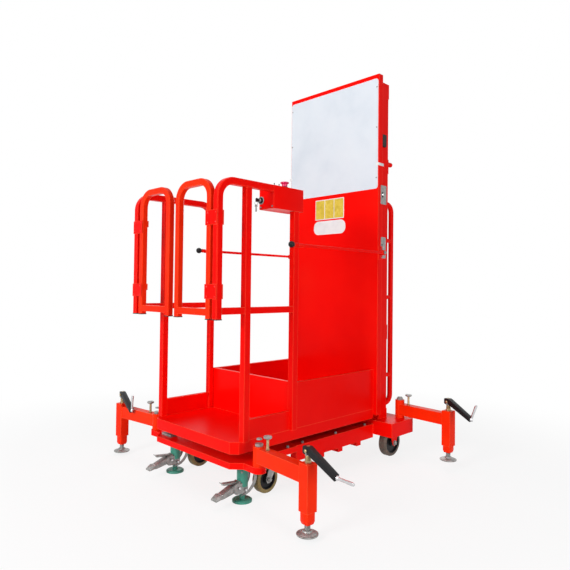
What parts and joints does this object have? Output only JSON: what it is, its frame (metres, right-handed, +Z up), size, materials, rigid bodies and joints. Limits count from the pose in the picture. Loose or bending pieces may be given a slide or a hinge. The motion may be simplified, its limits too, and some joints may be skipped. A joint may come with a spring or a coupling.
{
  "type": "order picker truck",
  "caption": "Push-around order picker with a caged stand-on platform, stock tray, telescopic mast and folding outriggers.",
  "frame": {"origin": "on the floor, under the middle of the truck's bounding box", "axes": "+Z up, +Y from the gates towards the mast, +X to the right as seen from the gates"},
  "size_m": [1.8248, 1.319, 2.112],
  "materials": {
    "red_paint": "gloss",
    "white_paint": "satin",
    "black_plastic": "matte",
    "stop_red": "gloss",
    "zinc_steel": "satin",
    "chrome_rod": "polished",
    "caster_tread": "matte",
    "rear_tread": "matte",
    "green_paint": "satin"
  },
  "bodies": {
    "base": {"chassis_frame": "red_paint", "floor_locks": "green_paint", "lift_barrel": "zinc_steel", "lock_pedals": "zinc_steel", "mast_pads": "black_plastic", "outer_mast": "red_paint", "pivot_pins": "zinc_steel", "power_unit": "black_plastic", "push_handle_left": "red_paint", "push_handle_right": "red_paint", "rear_axles": "zinc_steel"},
    "inner_stage": {"inner_mast": "red_paint", "lift_chains": "zinc_steel", "lift_rod": "chrome_rod", "mast_rollers": "zinc_steel"},
    "platform": {"back_panel": "red_paint", "bar_pivots": "zinc_steel", "bar_rests": "red_paint", "carriage": "red_paint", "carriage_rollers": "zinc_steel", "control_box": "red_paint", "gate_hinges": "zinc_steel", "leg_caps": "black_plastic", "light_board": "white_paint", "platform_deck": "red_paint", "side_guard_left": "red_paint", "side_guard_right": "red_paint", "stock_tray": "red_paint", "stop_button": "stop_red", "toe_boards": "red_paint"},
    "gate_left_body": {"gate_left": "red_paint", "gate_caps_left": "black_plastic"},
    "drop_bar_left_body": {"drop_bar_left": "red_paint", "bar_knob_left": "black_plastic"},
    "caster_swivel_left": {"caster_fork_left": "zinc_steel"},
    "caster_roll_left": {"caster_wheel_left": "caster_tread"},
    "rear_roll_left": {"rear_wheel_left": "rear_tread"},
    "lock_left": {"lock_pad_left": "green_paint"},
    "arm_front_left": {"outrigger_front_left": "red_paint", "crank_and_pin_front_left": "black_plastic"},
    "foot_front_left": {"leg_foot_front_left": "zinc_steel"},
    "arm_rear_left": {"outrigger_rear_left": "red_paint", "crank_and_pin_rear_left": "black_plastic"},
    "foot_rear_left": {"leg_foot_rear_left": "zinc_steel"},
    "gate_right_body": {"gate_right": "red_paint", "gate_caps_right": "black_plastic"},
    "drop_bar_right_body": {"drop_bar_right": "red_paint", "bar_knob_right": "black_plastic"},
    "caster_swivel_right": {"caster_fork_right": "zinc_steel"},
    "caster_roll_right": {"caster_wheel_right": "caster_tread"},
    "rear_roll_right": {"rear_wheel_right": "rear_tread"},
    "lock_right": {"lock_pad_right": "green_paint"},
    "arm_front_right": {"outrigger_front_right": "red_paint", "crank_and_pin_front_right": "black_plastic"},
    "foot_front_right": {"leg_foot_front_right": "zinc_steel"},
    "arm_rear_right": {"outrigger_rear_right": "red_paint", "crank_and_pin_rear_right": "black_plastic"},
    "foot_rear_right": {"leg_foot_rear_right": "zinc_steel"}
  },
  "joints": [
    {"name": "lift_lower_stage", "type": "slide", "parent": "base", "child": "inner_stage", "axis": [0, 0, 1], "range_m": [0, 1.5]},
    {"name": "lift_upper_stage", "type": "slide", "parent": "inner_stage", "child": "platform", "axis": [0, 0, 1], "range_m": [0, 1.5]},
    {"name": "gate_hinge_left", "type": "hinge", "parent": "platform", "child": "gate_left_body", "pos_m": [-0.288, -0.6215, 0.9], "axis": [0, 0, 1], "range_deg": [0, 85]},
    {"name": "drop_bar_hinge_left", "type": "hinge", "parent": "platform", "child": "drop_bar_left_body", "pos_m": [-0.35, 0.4455, 1.113], "axis": [-1, 0, 0], "range_deg": [0, 90]},
    {"name": "swing_front_left", "type": "hinge", "parent": "base", "child": "arm_front_left", "pos_m": [-0.388, -0.4725, 0.227], "axis": [0, 0, -1], "range_deg": [0, 96]},
    {"name": "jack_front_left", "type": "slide", "parent": "arm_front_left", "child": "foot_front_left", "axis": [0, 0, -1], "range_m": [-0.03, 0.06]},
    {"name": "swing_rear_left", "type": "hinge", "parent": "base", "child": "arm_rear_left", "pos_m": [-0.362, 0.5995, 0.25], "axis": [0, 0, 1], "range_deg": [0, 86]},
    {"name": "jack_rear_left", "type": "slide", "parent": "arm_rear_left", "child": "foot_rear_left", "axis": [0, 0, -1], "range_m": [-0.03, 0.08]},
    {"name": "swivel_left", "type": "hinge", "parent": "base", "child": "caster_swivel_left", "pos_m": [-0.25, -0.2725, 0.13], "axis": [0, 0, 1], "continuous": true},
    {"name": "caster_axle_left", "type": "hinge", "parent": "caster_swivel_left", "child": "caster_roll_left", "pos_m": [-0.25, -0.3085, 0.0625], "axis": [1, 0, 0], "continuous": true},
    {"name": "rear_axle_left", "type": "hinge", "parent": "base", "child": "rear_roll_left", "pos_m": [-0.322, 0.5595, 0.075], "axis": [1, 0, 0], "continuous": true},
    {"name": "floor_lock_left", "type": "slide", "parent": "base", "child": "lock_left", "axis": [0, 0, 1], "range_m": [0, 0.015]},
    {"name": "gate_hinge_right", "type": "hinge", "parent": "platform", "child": "gate_right_body", "pos_m": [0.288, -0.6215, 0.9], "axis": [0, 0, -1], "range_deg": [0, 85]},
    {"name": "drop_bar_hinge_right", "type": "hinge", "parent": "platform", "child": "drop_bar_right_body", "pos_m": [0.35, 0.4455, 1.113], "axis": [-1, 0, 0], "range_deg": [0, 90]},
    {"name": "swing_front_right", "type": "hinge", "parent": "base", "child": "arm_front_right", "pos_m": [0.388, -0.4725, 0.227], "axis": [0, 0, 1], "range_deg": [0, 96]},
    {"name": "jack_front_right", "type": "slide", "parent": "arm_front_right", "child": "foot_front_right", "axis": [0, 0, -1], "range_m": [-0.03, 0.06]},
    {"name": "swing_rear_right", "type": "hinge", "parent": "base", "child": "arm_rear_right", "pos_m": [0.362, 0.5995, 0.25], "axis": [0, 0, -1], "range_deg": [0, 86]},
    {"name": "jack_rear_right", "type": "slide", "parent": "arm_rear_right", "child": "foot_rear_right", "axis": [0, 0, -1], "range_m": [-0.03, 0.08]},
    {"name": "swivel_right", "type": "hinge", "parent": "base", "child": "caster_swivel_right", "pos_m": [0.25, -0.2725, 0.13], "axis": [0, 0, 1], "continuous": true},
    {"name": "caster_axle_right", "type": "hinge", "parent": "caster_swivel_right", "child": "caster_roll_right", "pos_m": [0.25, -0.3085, 0.0625], "axis": [1, 0, 0], "continuous": true},
    {"name": "rear_axle_right", "type": "hinge", "parent": "base", "child": "rear_roll_right", "pos_m": [0.322, 0.5595, 0.075], "axis": [1, 0, 0], "continuous": true},
    {"name": "floor_lock_right", "type": "slide", "parent": "base", "child": "lock_right", "axis": [0, 0, 1], "range_m": [0, 0.015]}
  ],
  "couplings": [
    {"joint": "lift_upper_stage", "follows": "lift_lower_stage", "ratio": 1}
  ]
}
